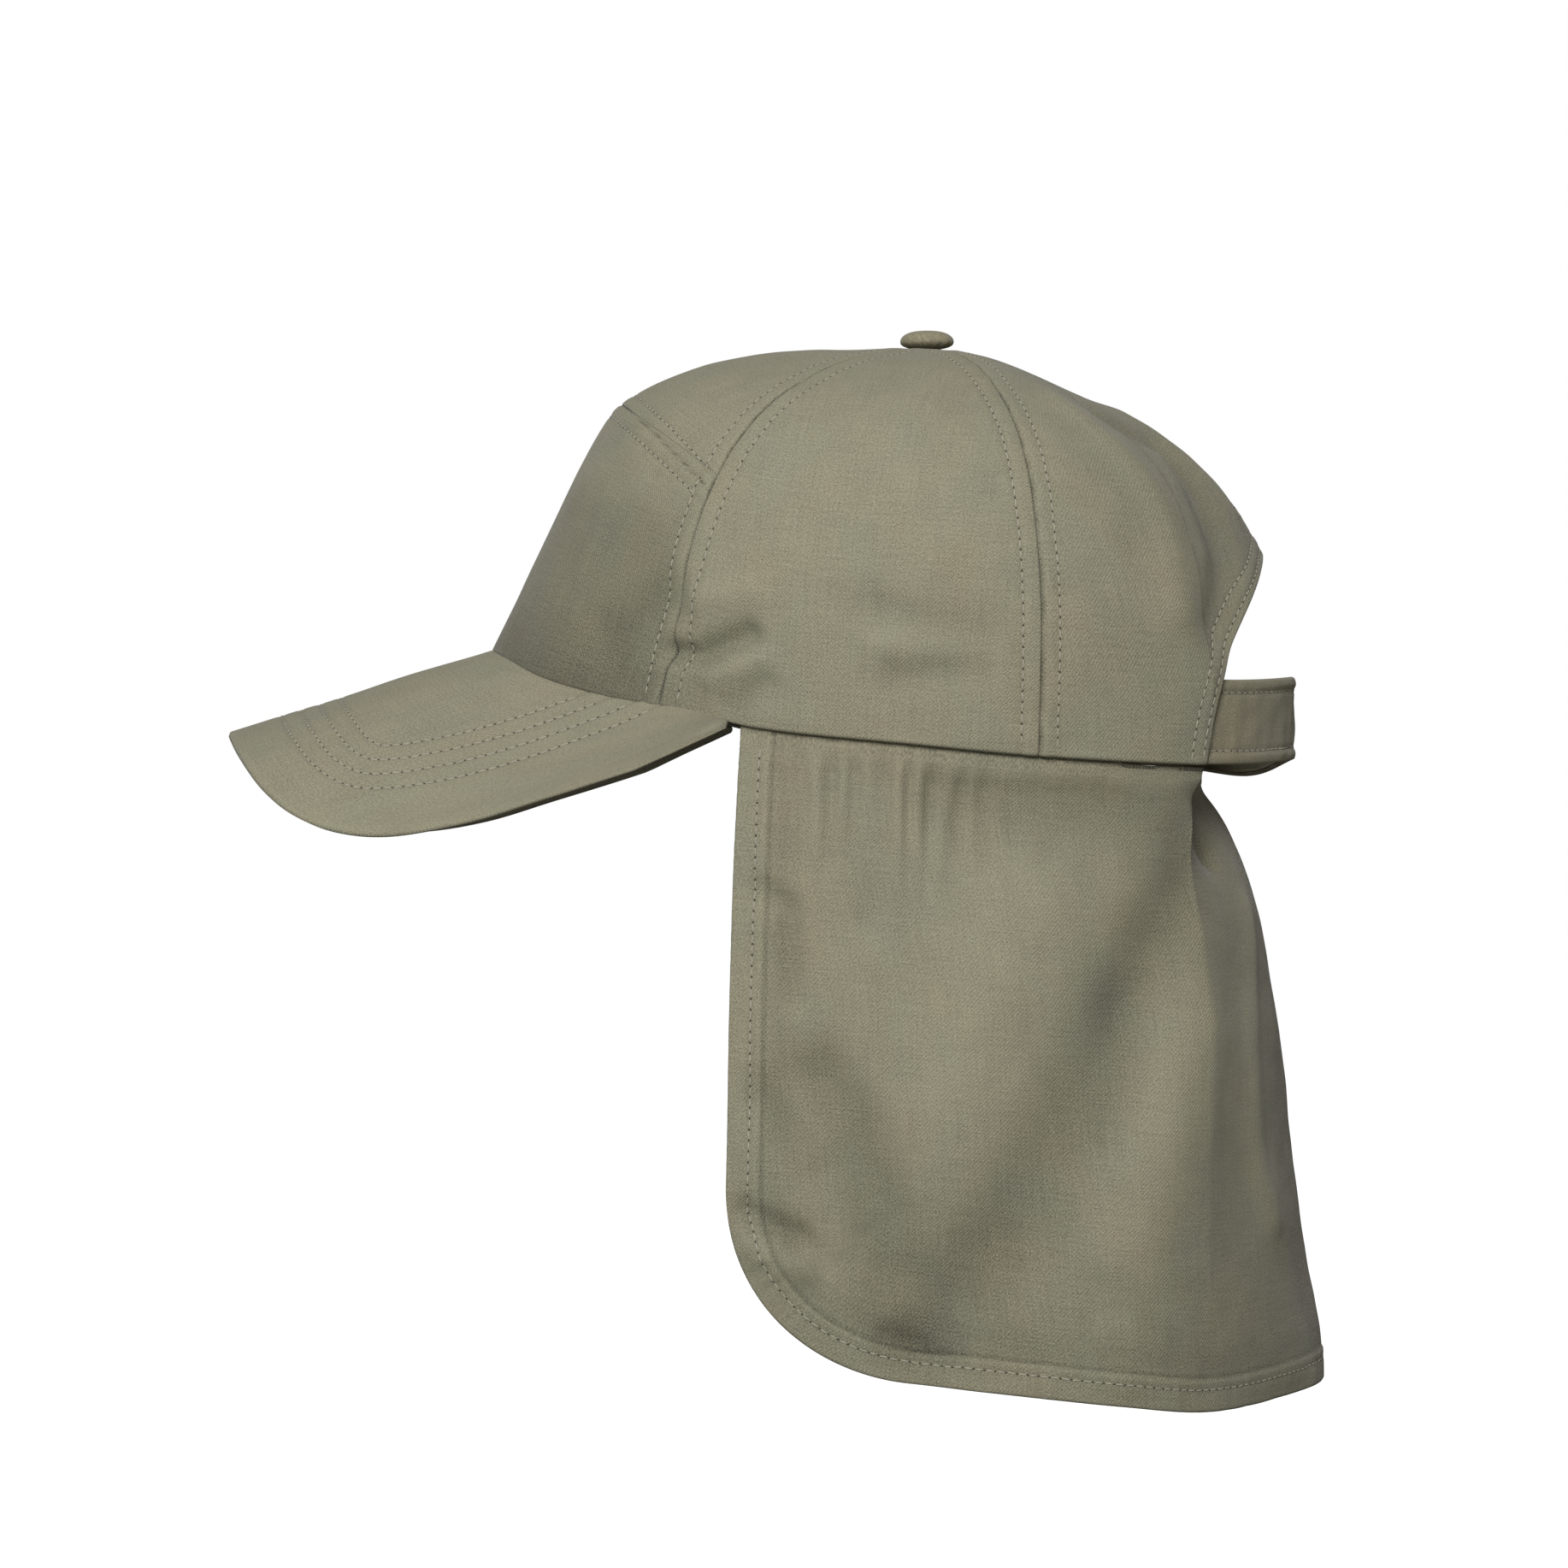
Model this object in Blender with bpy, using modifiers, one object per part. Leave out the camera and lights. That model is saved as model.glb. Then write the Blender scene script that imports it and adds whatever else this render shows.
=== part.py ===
"""Peaked cloth cap with a neck flap, as separate sewn pieces.

Metres, +Z up. The peak points to -Y and the wearer's left is +X. The origin is
the seat of the head: on the middle plane, level with the head's opening.
"""

import math
from bisect import bisect_right
from collections import namedtuple

import bmesh
import bpy
from mathutils import Vector

COLLECTION = "peaked_cap_with_neck_flap"

# Clearances and cloth walls
FIT_GAP = 0.0003
SEAM_GAP = 0.0006
CROWN_WALL = 0.0015
STRAP_WALL = 0.0016
FLAP_WALL = 0.0012
PEAK_WALL = 0.0024

# Crown: the rim is an egg-shaped ring that rises at the front
CROWN_LENGTH = 0.2077
CROWN_WIDTH = 0.160
CROWN_EGG = 0.05
CROWN_MIDDLE = 0.0059
CROWN_TOP = 0.1017
RIM_LEVEL = -0.0002
RIM_RISE = 0.0243
BUTTON_BACK = 0.0082
TIP_RADIUS = 0.0024

# Length of cloth from rim to button, which the levels of the crown share out
LEVEL_REACH = (CROWN_LENGTH + CROWN_TOP) / 2

# Seams of the crown: angles run from the front, past the wearer's left, to the back
FRONT_SEAM_RIM = 54.8
FRONT_SEAM_TOP = 69.0
REAR_SEAM_RIM = 109.3
REAR_SEAM_TOP = 110.0
BACK_SEAM = 180.0
CROSS_SEAM_HEIGHT = 0.0635
CROSS_SEAM_SIDE_HEIGHT = 0.0563
CROSS_SEAM_BEND = 24.0

# Arched opening at the back
ARCH_HALF_ANGLE = 41.5
ARCH_HEIGHT = 0.0530

# Peak
PEAK_LENGTH = 0.0676
PEAK_HALF_WIDTH = 0.0730
PEAK_FALL = 0.0490
PEAK_HALF_ANGLE = 65.8
PEAK_END_WIDTH = 0.0010

# Strap across the opening
STRAP_HEIGHT = 0.0213
STRAP_LIFT = 0.0005
STRAP_TUCK_ANGLE = 8.0

# Neck flap
FLAP_DROP = 0.1635
FLAP_HALF_WIDTH = 0.0770
FLAP_DEPTH = 0.1540
FLAP_START_GAP = 1.5
FLAP_TUCK = 0.0050
FLAP_TUCK_END = 124.0
FLAP_EXIT = 0.0010
FLAP_SAG = 0.0030
FLAP_SEWN_SHARE = 0.71
FLAP_CORNER_SHARE = 0.25
FLAP_CORNER_HEIGHT = 0.0460
FLAP_FRONT_LEAN = 0.0040

# Button
BUTTON_RADIUS = 0.0069
BUTTON_HEIGHT = 0.0047
SHANK_RADIUS = 0.0014
SHANK_DEPTH = 0.0030

# Depth and width of a full fold
CROWN_FOLD_DEPTH = 0.0020
CROWN_FOLD_WIDTH = 0.0100
FLAP_FOLD_DEPTH = 0.0040
FLAP_FOLD_WIDTH = 0.0150

# Share of the flap's drop over which its folds grow from nothing
FOLD_FADE = 0.05

# Length of half the flap's hem, and the step along it that gives its direction
FLAP_REACH = 0.1850
FLAP_STEP = 0.01

# Faces along and across each piece
FRONT_COLUMNS = 24
SIDE_COLUMNS = 11
BACK_SIDE_COLUMNS = 6
BACK_ARCH_COLUMNS = 8
LOWER_ROWS = 9
UPPER_ROWS = 10
SIDE_ROWS = 18
PEAK_COLUMNS = 28
PEAK_ROWS = 7
STRAP_COLUMNS = 20
FLAP_CORNER_COLUMNS = 7
FLAP_SIDE_COLUMNS = 17
FLAP_ROWS = 16
BUTTON_STEPS = 20

CLOTH = (0.245, 0.225, 0.165, 1.0)
CLOTH_ROUGHNESS = 0.9
SHARP_ANGLE = 40.0

# Rise of the rim over RIM_LEVEL, as a share of RIM_RISE
RimRow = namedtuple("RimRow", "angle rise")
RIM_LINE = (
    RimRow(0, 1.00),
    RimRow(15, 0.91),
    RimRow(30, 0.69),
    RimRow(45, 0.485),
    RimRow(58, 0.345),
    RimRow(70, 0.155),
    RimRow(90, 0.00),
    RimRow(112, -0.145),
    RimRow(142, -0.22),
    RimRow(180, -0.16),
)

# Lines of the crown from rim to button: how far out from the button's axis, as
# a share of the rim's distance, and how high, as a share of the height there
LevelRow = namedtuple(
    "LevelRow", "level front_out front_up side_out side_up back_out back_up"
)
CROWN_LEVELS = (
    LevelRow(0.00, 1.000, 0.000, 1.000, 0.000, 1.000, 0.000),
    LevelRow(0.10, 0.940, 0.170, 1.015, 0.155, 1.000, 0.150),
    LevelRow(0.20, 0.880, 0.350, 1.020, 0.310, 0.985, 0.300),
    LevelRow(0.30, 0.825, 0.530, 1.000, 0.460, 0.935, 0.440),
    LevelRow(0.40, 0.760, 0.705, 0.950, 0.600, 0.857, 0.575),
    LevelRow(0.47, 0.705, 0.815, 0.890, 0.690, 0.785, 0.660),
    LevelRow(0.55, 0.610, 0.895, 0.810, 0.775, 0.685, 0.740),
    LevelRow(0.65, 0.480, 0.957, 0.680, 0.860, 0.545, 0.820),
    LevelRow(0.78, 0.300, 0.998, 0.470, 0.942, 0.350, 0.905),
    LevelRow(0.90, 0.137, 1.002, 0.230, 0.985, 0.165, 0.975),
    LevelRow(1.00, 0.000, 1.000, 0.000, 1.000, 0.000, 1.000),
)

# Outer edge of the peak from its tip to its end: across as a share of
# PEAK_HALF_WIDTH, ahead of the rim's front as a share of PEAK_LENGTH, below it
# as a share of PEAK_FALL
EdgeRow = namedtuple("EdgeRow", "around across ahead below")
PEAK_EDGE = (
    EdgeRow(0.00, 0.00, 1.000, 0.420),
    EdgeRow(0.12, 0.25, 0.975, 0.455),
    EdgeRow(0.24, 0.49, 0.917, 0.555),
    EdgeRow(0.33, 0.68, 0.820, 0.710),
    EdgeRow(0.41, 0.79, 0.705, 0.830),
    EdgeRow(0.50, 0.87, 0.545, 0.915),
    EdgeRow(0.60, 0.91, 0.335, 0.935),
    EdgeRow(0.70, 0.94, 0.060, 0.875),
    EdgeRow(0.80, 0.965, -0.220, 0.760),
    EdgeRow(0.90, 0.985, -0.560, 0.610),
)

# Plan of the flap's hem from its front edge to the middle of the back: across
# as a share of FLAP_HALF_WIDTH, back as a share of FLAP_DEPTH, low as a share
# of FLAP_DROP
HemRow = namedtuple("HemRow", "along across back low")
FLAP_HEM = (
    HemRow(0.00, 0.98, 0.000, 0.930),
    HemRow(0.18, 1.00, 0.215, 0.940),
    HemRow(0.36, 0.985, 0.430, 0.962),
    HemRow(0.55, 0.93, 0.645, 0.985),
    HemRow(0.71, 0.74, 0.790, 1.000),
    HemRow(0.86, 0.37, 0.925, 0.990),
    HemRow(1.00, 0.00, 1.000, 0.976),
)

# How soon the flap reaches the plan of its hem on the way down
FlareRow = namedtuple("FlareRow", "down share")
FLAP_FLARE = (
    FlareRow(0.00, 0.00),
    FlareRow(0.07, 0.14),
    FlareRow(0.20, 0.36),
    FlareRow(0.36, 0.53),
    FlareRow(0.50, 0.64),
    FlareRow(0.65, 0.72),
    FlareRow(0.80, 0.85),
    FlareRow(0.92, 0.98),
    FlareRow(1.00, 1.00),
)

# Folds of the crown, each along a line from one angle and level to another.
# Depth and width are shares of a full fold, and a negative depth goes inward
CrownFold = namedtuple("CrownFold", "angle level to_angle to_level depth width")
CROWN_FOLDS = (
    CrownFold(44, 0.17, 54, 0.27, -0.8, 0.9),
    CrownFold(64, 0.10, 68, 0.24, -1.0, 0.8),
    CrownFold(88, 0.14, 104, 0.17, -0.7, 0.6),
    CrownFold(138, 0.62, 147, 0.28, -1.1, 0.8),
    CrownFold(128, 0.66, 134, 0.30, 0.7, 0.8),
    CrownFold(158, 0.66, 163, 0.42, 0.7, 0.8),
)

# Folds of the flap, each along a line from one place to another, where along
# runs from the front edge to the middle of the back and down from rim to hem
FlapFold = namedtuple("FlapFold", "along down to_along to_down depth width")
FLAP_FOLDS = (
    FlapFold(0.64, 0.06, 0.30, 0.90, -0.9, 1.3),
    FlapFold(0.50, 0.02, 0.22, 0.50, 0.6, 1.3),
    FlapFold(0.66, 0.30, 0.46, 0.85, 0.6, 1.2),
    FlapFold(0.14, 0.52, 0.22, 0.72, -1.0, 1.0),
    FlapFold(0.10, 0.75, 0.20, 0.88, 0.7, 0.6),
    FlapFold(0.60, 0.00, 0.63, 0.16, -0.5, 0.4),
    FlapFold(0.84, 0.10, 0.90, 0.80, -0.6, 1.0),
)

# Gathers where the flap is sewn to the rim
GATHER_COUNT = 9
GATHER_DEPTH = 0.0006
GATHER_REACH = 0.20
GATHER_FROM = 0.03
GATHER_TO = 0.45


def mix(a, b, share):
    return a + (b - a) * share


def smooth(share):
    share = min(max(share, 0.0), 1.0)
    return share * share * (3 - 2 * share)


def read(table, key, column, at, mirrored=False):
    """Smooth curve through one column of a table, at a value of its key column."""
    xs = [getattr(row, key) for row in table]
    ys = [getattr(row, column) for row in table]
    at = min(max(at, xs[0]), xs[-1])
    i = min(max(bisect_right(xs, at) - 1, 0), len(xs) - 2)

    def slope(k):
        low, high = max(k - 1, 0), min(k + 1, len(xs) - 1)
        if mirrored and k in (0, len(xs) - 1):
            return 0.0
        return (ys[high] - ys[low]) / (xs[high] - xs[low])

    span = xs[i + 1] - xs[i]
    t = (at - xs[i]) / span
    a, b = slope(i) * span, slope(i + 1) * span
    t2, t3 = t * t, t * t * t
    return (
        (2 * t3 - 3 * t2 + 1) * ys[i]
        + (t3 - 2 * t2 + t) * a
        + (3 * t2 - 2 * t3) * ys[i + 1]
        + (t3 - t2) * b
    )


def rim_height(angle):
    around = abs((angle + 180) % 360 - 180)
    return RIM_LEVEL + RIM_RISE * read(RIM_LINE, "angle", "rise", around, mirrored=True)


def rim_point(angle, outset=0.0):
    """Point of the rim ring, or of a ring that lies outset further out."""
    a = math.radians(angle)
    half_length = CROWN_LENGTH / 2 + outset
    half_width = CROWN_WIDTH / 2 + outset
    return Vector(
        (
            half_width * math.sin(a) * (1 - CROWN_EGG * math.cos(a)),
            CROWN_MIDDLE - half_length * math.cos(a),
            rim_height(angle),
        )
    )


def button_place():
    return Vector((0.0, CROWN_MIDDLE + BUTTON_BACK, CROWN_TOP))


def line_share(angle, level, column):
    """A share of the crown's lines at any angle, between front, side and back."""
    c = math.cos(math.radians(angle))
    end = "front_" if c > 0 else "back_"
    side = read(CROWN_LEVELS, "level", "side_" + column, level)
    return mix(side, read(CROWN_LEVELS, "level", end + column, level), c * c)


def fold_height(folds, place, reach, depth, width):
    """Sum of the folds at a place, where reach turns each share into metres."""
    total = 0.0
    point = Vector((place[0] * reach[0], place[1] * reach[1]))
    for fold in folds:
        start = Vector((fold[0] * reach[0], fold[1] * reach[1]))
        run = Vector((fold[2] * reach[0], fold[3] * reach[1])) - start
        share = min(max((point - start).dot(run) / run.length_squared, 0.0), 1.0)
        away = (point - start - run * share).length / (width * fold.width)
        total += depth * fold.depth * math.exp(-away * away)
    return total


def crown_point(angle, level):
    """Point of the crown's outer face."""
    rim = rim_point(angle)
    axis = button_place()
    out = line_share(angle, level, "out")
    up = line_share(angle, level, "up")
    point = Vector(
        (
            mix(axis.x, rim.x, out),
            mix(axis.y, rim.y, out),
            mix(rim.z, CROWN_TOP, up),
        )
    )
    around = abs((angle + 180) % 360 - 180)
    reach = (math.radians(1) * CROWN_LENGTH / 2, LEVEL_REACH)
    height = fold_height(
        CROWN_FOLDS, (around, level), reach, CROWN_FOLD_DEPTH, CROWN_FOLD_WIDTH
    )
    middle = Vector((0.0, CROWN_MIDDLE, CROWN_TOP / 4))
    return point + (point - middle).normalized() * height


def level_at(angle, height):
    """Level at which the crown stands this high over its rim."""
    share = height / (CROWN_TOP - rim_height(angle))
    low, high = 0.0, 0.8
    for _ in range(24):
        level = (low + high) / 2
        if line_share(angle, level, "up") < share:
            low = level
        else:
            high = level
    return (low + high) / 2


def tip_level(angle):
    """Level at which a panel ends, TIP_RADIUS from the button's axis."""
    axis = button_place()
    low, high = 0.8, 1.0
    for _ in range(24):
        level = (low + high) / 2
        away = crown_point(angle, level) - axis
        if math.hypot(away.x, away.y) > TIP_RADIUS:
            low = level
        else:
            high = level
    return (low + high) / 2


def front_seam(level):
    return mix(FRONT_SEAM_RIM, FRONT_SEAM_TOP, level)


def rear_seam(level):
    return mix(REAR_SEAM_RIM, REAR_SEAM_TOP, level)


def cross_seam_level(angle):
    """Level of the arched seam between the two front panels."""
    middle = level_at(0.0, CROSS_SEAM_HEIGHT)
    side = level_at(FRONT_SEAM_RIM, CROSS_SEAM_SIDE_HEIGHT)
    return mix(middle, side, (abs(angle) / FRONT_SEAM_RIM) ** 4)


def arch_level(angle):
    """Level of the edge of the back opening, or the rim beside it."""
    away = abs(angle - 180.0) / ARCH_HALF_ANGLE
    if away >= 1:
        return 0.0
    return level_at(180.0, ARCH_HEIGHT) * math.sqrt(1 - away * away)


def cloth_material(name):
    material = bpy.data.materials.new(name)
    material.use_nodes = True
    shader = material.node_tree.nodes["Principled BSDF"]
    shader.inputs["Base Color"].default_value = CLOTH
    shader.inputs["Roughness"].default_value = CLOTH_ROUGHNESS
    shader.inputs["Metallic"].default_value = 0.0
    return material


def add_object(name, mesh):
    mesh.materials.append(cloth_material(name))
    mesh.shade_smooth()
    mesh.set_sharp_from_angle(angle=math.radians(SHARP_ANGLE))
    piece = bpy.data.objects.new(name, mesh)
    bpy.data.collections[COLLECTION].objects.link(piece)
    return piece


def add_sheet(name, rows, wall):
    """Cloth through rows of points, with its outer face to the right of each row."""
    bm = bmesh.new()
    grid = [[bm.verts.new(point) for point in row] for row in rows]
    for lower, upper in zip(grid, grid[1:]):
        for j in range(len(lower) - 1):
            bm.faces.new((lower[j], lower[j + 1], upper[j + 1], upper[j]))
    mesh = bpy.data.meshes.new(name)
    bm.to_mesh(mesh)
    bm.free()
    piece = add_object(name, mesh)
    solidify = piece.modifiers.new("wall", "SOLIDIFY")
    solidify.thickness = wall
    solidify.offset = -1
    solidify.use_even_offset = True


def even(count):
    return [i / count for i in range(count + 1)]


def seam_shift(angle, level):
    """Angle that half a seam's gap takes up at this level."""
    step = (crown_point(angle + 1, level) - crown_point(angle, level)).length
    return SEAM_GAP / 2 / step


def add_panel(name, edges, shares, low, high, rows):
    """Panel of the crown between two seams and two levels.

    edges gives the angles of its two seams at a level, shares says where its
    columns lie between them, and low and high give the levels of its ends at a
    column's angle at the rim.
    """
    grid = []
    for row in even(rows):
        line = []
        for share in shares:
            start, end = edges(0.0)
            column = mix(start, end, share)
            level = mix(low(column), high(column), row)
            start, end = edges(level)
            start += seam_shift(start, level)
            end -= seam_shift(end, level)
            line.append(crown_point(mix(start, end, share), level))
        grid.append(line)
    add_sheet(name, grid, CROWN_WALL)


def add_front_panels():
    bend = CROWN_WALL * math.tan(math.radians(CROSS_SEAM_BEND / 2))
    half_gap = (SEAM_GAP / 2 + bend) / LEVEL_REACH

    def edges(level):
        return -front_seam(level), front_seam(level)

    add_panel(
        "front_panel",
        edges,
        even(FRONT_COLUMNS),
        lambda angle: 0.0,
        lambda angle: cross_seam_level(angle) - half_gap,
        LOWER_ROWS,
    )
    add_panel(
        "front_top_panel",
        edges,
        even(FRONT_COLUMNS),
        lambda angle: cross_seam_level(angle) + half_gap,
        tip_level,
        UPPER_ROWS,
    )


def add_side_panels():
    sides = {
        "side_panel_left": lambda level: (front_seam(level), rear_seam(level)),
        "side_panel_right": lambda level: (360 - rear_seam(level), 360 - front_seam(level)),
    }
    for name, edges in sides.items():
        add_panel(
            name, edges, even(SIDE_COLUMNS), lambda angle: 0.0, tip_level, SIDE_ROWS
        )


def add_back_panels():
    """Back panels: columns crowd at the arch's corner, where its edge is steep."""
    span = BACK_SEAM - REAR_SEAM_RIM
    corner = (span - ARCH_HALF_ANGLE) / span
    shares = [corner * share for share in even(BACK_SIDE_COLUMNS)[:-1]]
    for share in even(BACK_ARCH_COLUMNS):
        shares.append(1 - (1 - corner) * math.cos(share * math.pi / 2))
    sides = {
        "back_panel_left": (lambda level: (rear_seam(level), BACK_SEAM), shares),
        "back_panel_right": (
            lambda level: (BACK_SEAM, 360 - rear_seam(level)),
            [1 - share for share in reversed(shares)],
        ),
    }
    for name, (edges, places) in sides.items():
        add_panel(name, edges, places, arch_level, tip_level, SIDE_ROWS)


def peak_edge_point(around):
    """Outer edge of the peak, from its tip at 0 to its end at 1 or -1."""
    front = rim_point(0.0)
    side = 1 if around >= 0 else -1
    last = PEAK_EDGE[-1]
    at = min(abs(around), last.around)
    near_tip = at < PEAK_EDGE[1].around
    across = read(PEAK_EDGE, "around", "across", at) * PEAK_HALF_WIDTH
    ahead = read(PEAK_EDGE, "around", "ahead", at, mirrored=near_tip)
    below = read(PEAK_EDGE, "around", "below", at, mirrored=near_tip)
    point = Vector(
        (side * across, front.y - ahead * PEAK_LENGTH, front.z - below * PEAK_FALL)
    )
    end = rim_point(side * PEAK_HALF_ANGLE, PEAK_END_WIDTH + FIT_GAP)
    end.z -= FIT_GAP
    past = (abs(around) - last.around) / (1 - last.around)
    return point.lerp(end, max(past, 0.0))


def peak_point(around, out):
    """Point of the peak's upper face, from the rim at 0 to the outer edge at 1."""
    inner = rim_point(around * PEAK_HALF_ANGLE, FIT_GAP)
    inner.z -= FIT_GAP
    return inner.lerp(peak_edge_point(around), out)


def add_peak():
    rows = [
        [peak_point(2 * share - 1, 1 - out) for share in even(PEAK_COLUMNS)]
        for out in even(PEAK_ROWS)
    ]
    add_sheet("peak", rows, PEAK_WALL)


def add_strap():
    """Strap: its ends lie inside the crown, on both sides of the arch."""
    reach = ARCH_HALF_ANGLE + STRAP_TUCK_ANGLE
    outset = -(CROWN_WALL + FIT_GAP)
    rows = []
    for height in (0.0, STRAP_HEIGHT / 2, STRAP_HEIGHT):
        row = []
        for share in even(STRAP_COLUMNS):
            point = rim_point(180 + mix(-reach, reach, share), outset)
            point.z += STRAP_LIFT + height
            row.append(point)
        rows.append(row)
    add_sheet("back_strap", rows, STRAP_WALL)


def flap_angle(along):
    """Angle at the rim that a place along the flap is sewn to."""
    start = PEAK_HALF_ANGLE + FLAP_START_GAP
    return mix(start, 180 - ARCH_HALF_ANGLE, min(along / FLAP_SEWN_SHARE, 1.0))


def flap_top(along):
    """Sewn edge of the flap, then its free edge straight across the opening."""
    angle = flap_angle(along)
    point = rim_point(angle, -(CROWN_WALL + 2 * FIT_GAP))
    ease = smooth((FLAP_TUCK_END - angle) / STRAP_TUCK_ANGLE)
    point.z += mix(-FIT_GAP, FLAP_TUCK, ease)
    past = max(along - FLAP_SEWN_SHARE, 0.0) / (1 - FLAP_SEWN_SHARE)
    point.x *= 1 - past
    point.z -= FLAP_SAG * smooth(past)
    return point


def flap_exit(along):
    """Height at which the flap leaves the crown, or just under its free edge."""
    return min(rim_height(flap_angle(along)), flap_top(along).z) - FLAP_EXIT


def flap_hem(along):
    front = rim_point(PEAK_HALF_ANGLE + FLAP_START_GAP)
    across = read(FLAP_HEM, "along", "across", along)
    near_middle = along > FLAP_HEM[-2].along
    back = read(FLAP_HEM, "along", "back", along, mirrored=near_middle)
    low = read(FLAP_HEM, "along", "low", along)
    height = RIM_LEVEL - low * FLAP_DROP
    if along < FLAP_CORNER_SHARE:
        away = 1 - along / FLAP_CORNER_SHARE
        height += FLAP_CORNER_HEIGHT * (1 - math.sqrt(1 - away * away))
    return Vector(
        (
            across * FLAP_HALF_WIDTH,
            front.y - FLAP_FRONT_LEAN + back * FLAP_DEPTH,
            height,
        )
    )


def flap_plain(along, down):
    top = flap_top(along)
    hem = flap_hem(along)
    flare = read(FLAP_FLARE, "down", "share", down)
    z = mix(flap_exit(along), hem.z, down)
    return Vector((mix(top.x, hem.x, flare), mix(top.y, hem.y, flare), z))


def flap_point(along, down):
    """Point of the flap's outer face, with its folds and gathers."""
    point = flap_plain(along, down)
    before = flap_plain(max(along - FLAP_STEP, 0.0), down)
    after = flap_plain(min(along + FLAP_STEP, 1.0), down)
    run = after - before
    outward = Vector((run.y, -run.x, 0.0)).normalized()
    reach = (FLAP_REACH, FLAP_DROP)
    low = (flap_exit(along) - point.z) / FLAP_DROP
    height = fold_height(
        FLAP_FOLDS, (along, low), reach, FLAP_FOLD_DEPTH, FLAP_FOLD_WIDTH
    )
    if GATHER_FROM < along < GATHER_TO:
        place = (along - GATHER_FROM) / (GATHER_TO - GATHER_FROM)
        fade = max(1 - low / GATHER_REACH, 0.0)
        wave = math.sin(2 * math.pi * GATHER_COUNT * place)
        height += GATHER_DEPTH * wave * fade * math.sin(math.pi * place)
    return point + outward * height * smooth(low / FOLD_FADE)


def add_flap():
    """Flap: columns crowd at the front edge, where the corner's curve is steep."""
    places = []
    for share in even(FLAP_CORNER_COLUMNS)[:-1]:
        places.append(FLAP_CORNER_SHARE * (1 - math.cos(share * math.pi / 2)))
    for share in even(FLAP_SIDE_COLUMNS):
        places.append(mix(FLAP_CORNER_SHARE, 1.0, share))
    rows = []
    for share in even(FLAP_ROWS):
        down = 1 - share
        rows.append([flap_point(along, down) for along in places])
    rows.append([flap_top(along) for along in places])
    for row in rows:
        row += [Vector((-point.x, point.y, point.z)) for point in reversed(row[:-1])]
    add_sheet("neck_flap", rows, FLAP_WALL)


def add_button():
    """Button: a turned dome with a rolled edge, and the shank that holds it."""
    foot = FIT_GAP
    top = foot + BUTTON_HEIGHT
    radius = BUTTON_RADIUS
    profile = [
        (0.0, top),
        (radius * 0.35, top - BUTTON_HEIGHT * 0.03),
        (radius * 0.65, top - BUTTON_HEIGHT * 0.12),
        (radius * 0.87, top - BUTTON_HEIGHT * 0.30),
        (radius * 0.98, top - BUTTON_HEIGHT * 0.50),
        (radius, top - BUTTON_HEIGHT * 0.66),
        (radius * 0.94, foot + BUTTON_HEIGHT * 0.12),
        (radius * 0.82, foot),
        (SHANK_RADIUS, foot),
        (SHANK_RADIUS, foot - SHANK_DEPTH),
        (0.0, foot - SHANK_DEPTH),
    ]
    bm = bmesh.new()
    line = [bm.verts.new((r, 0.0, z)) for r, z in profile]
    for start, end in zip(line, line[1:]):
        bm.edges.new((start, end))
    mesh = bpy.data.meshes.new("button")
    bm.to_mesh(mesh)
    bm.free()
    piece = add_object("button", mesh)
    piece.location = button_place()
    screw = piece.modifiers.new("turned", "SCREW")
    screw.steps = BUTTON_STEPS
    screw.render_steps = BUTTON_STEPS
    screw.use_merge_vertices = True
    screw.merge_threshold = 0.00001


def main():
    for old in list(bpy.data.objects):
        bpy.data.objects.remove(old)
    collection = bpy.data.collections.new(COLLECTION)
    bpy.context.scene.collection.children.link(collection)
    add_front_panels()
    add_side_panels()
    add_back_panels()
    add_peak()
    add_strap()
    add_flap()
    add_button()


main()
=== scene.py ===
import math
import random
from bisect import bisect_right
from functools import lru_cache

import bmesh
import bpy
from mathutils import Matrix, Vector, bvhtree, kdtree, noise


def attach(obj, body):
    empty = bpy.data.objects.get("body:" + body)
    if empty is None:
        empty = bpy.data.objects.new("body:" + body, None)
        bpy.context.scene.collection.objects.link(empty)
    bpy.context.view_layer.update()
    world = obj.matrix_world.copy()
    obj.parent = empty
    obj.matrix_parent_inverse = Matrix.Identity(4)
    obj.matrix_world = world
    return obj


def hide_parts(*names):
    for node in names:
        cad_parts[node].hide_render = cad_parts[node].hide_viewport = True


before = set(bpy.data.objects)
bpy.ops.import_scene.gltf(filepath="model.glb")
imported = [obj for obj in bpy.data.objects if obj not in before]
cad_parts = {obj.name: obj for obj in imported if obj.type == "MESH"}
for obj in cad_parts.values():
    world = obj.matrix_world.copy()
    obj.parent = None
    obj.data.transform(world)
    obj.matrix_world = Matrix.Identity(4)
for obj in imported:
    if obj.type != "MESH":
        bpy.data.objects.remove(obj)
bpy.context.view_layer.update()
print("frame loaded:", len(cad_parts), "nodes")


# Small helpers for shapes

def mix(a, b, share):
    return a + (b - a) * share


def ease(share):
    share = min(max(share, 0.0), 1.0)
    return share * share * (3 - 2 * share)


def hump(away, width):
    return math.exp(-(away / width) ** 2)


# How far a rounded edge falls back, this far in from the edge
def roll(away, radius):
    if away >= radius:
        return 0.0
    past = 1 - max(away, 0.0) / radius
    return radius * (1 - math.sqrt(1 - past * past))


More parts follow.
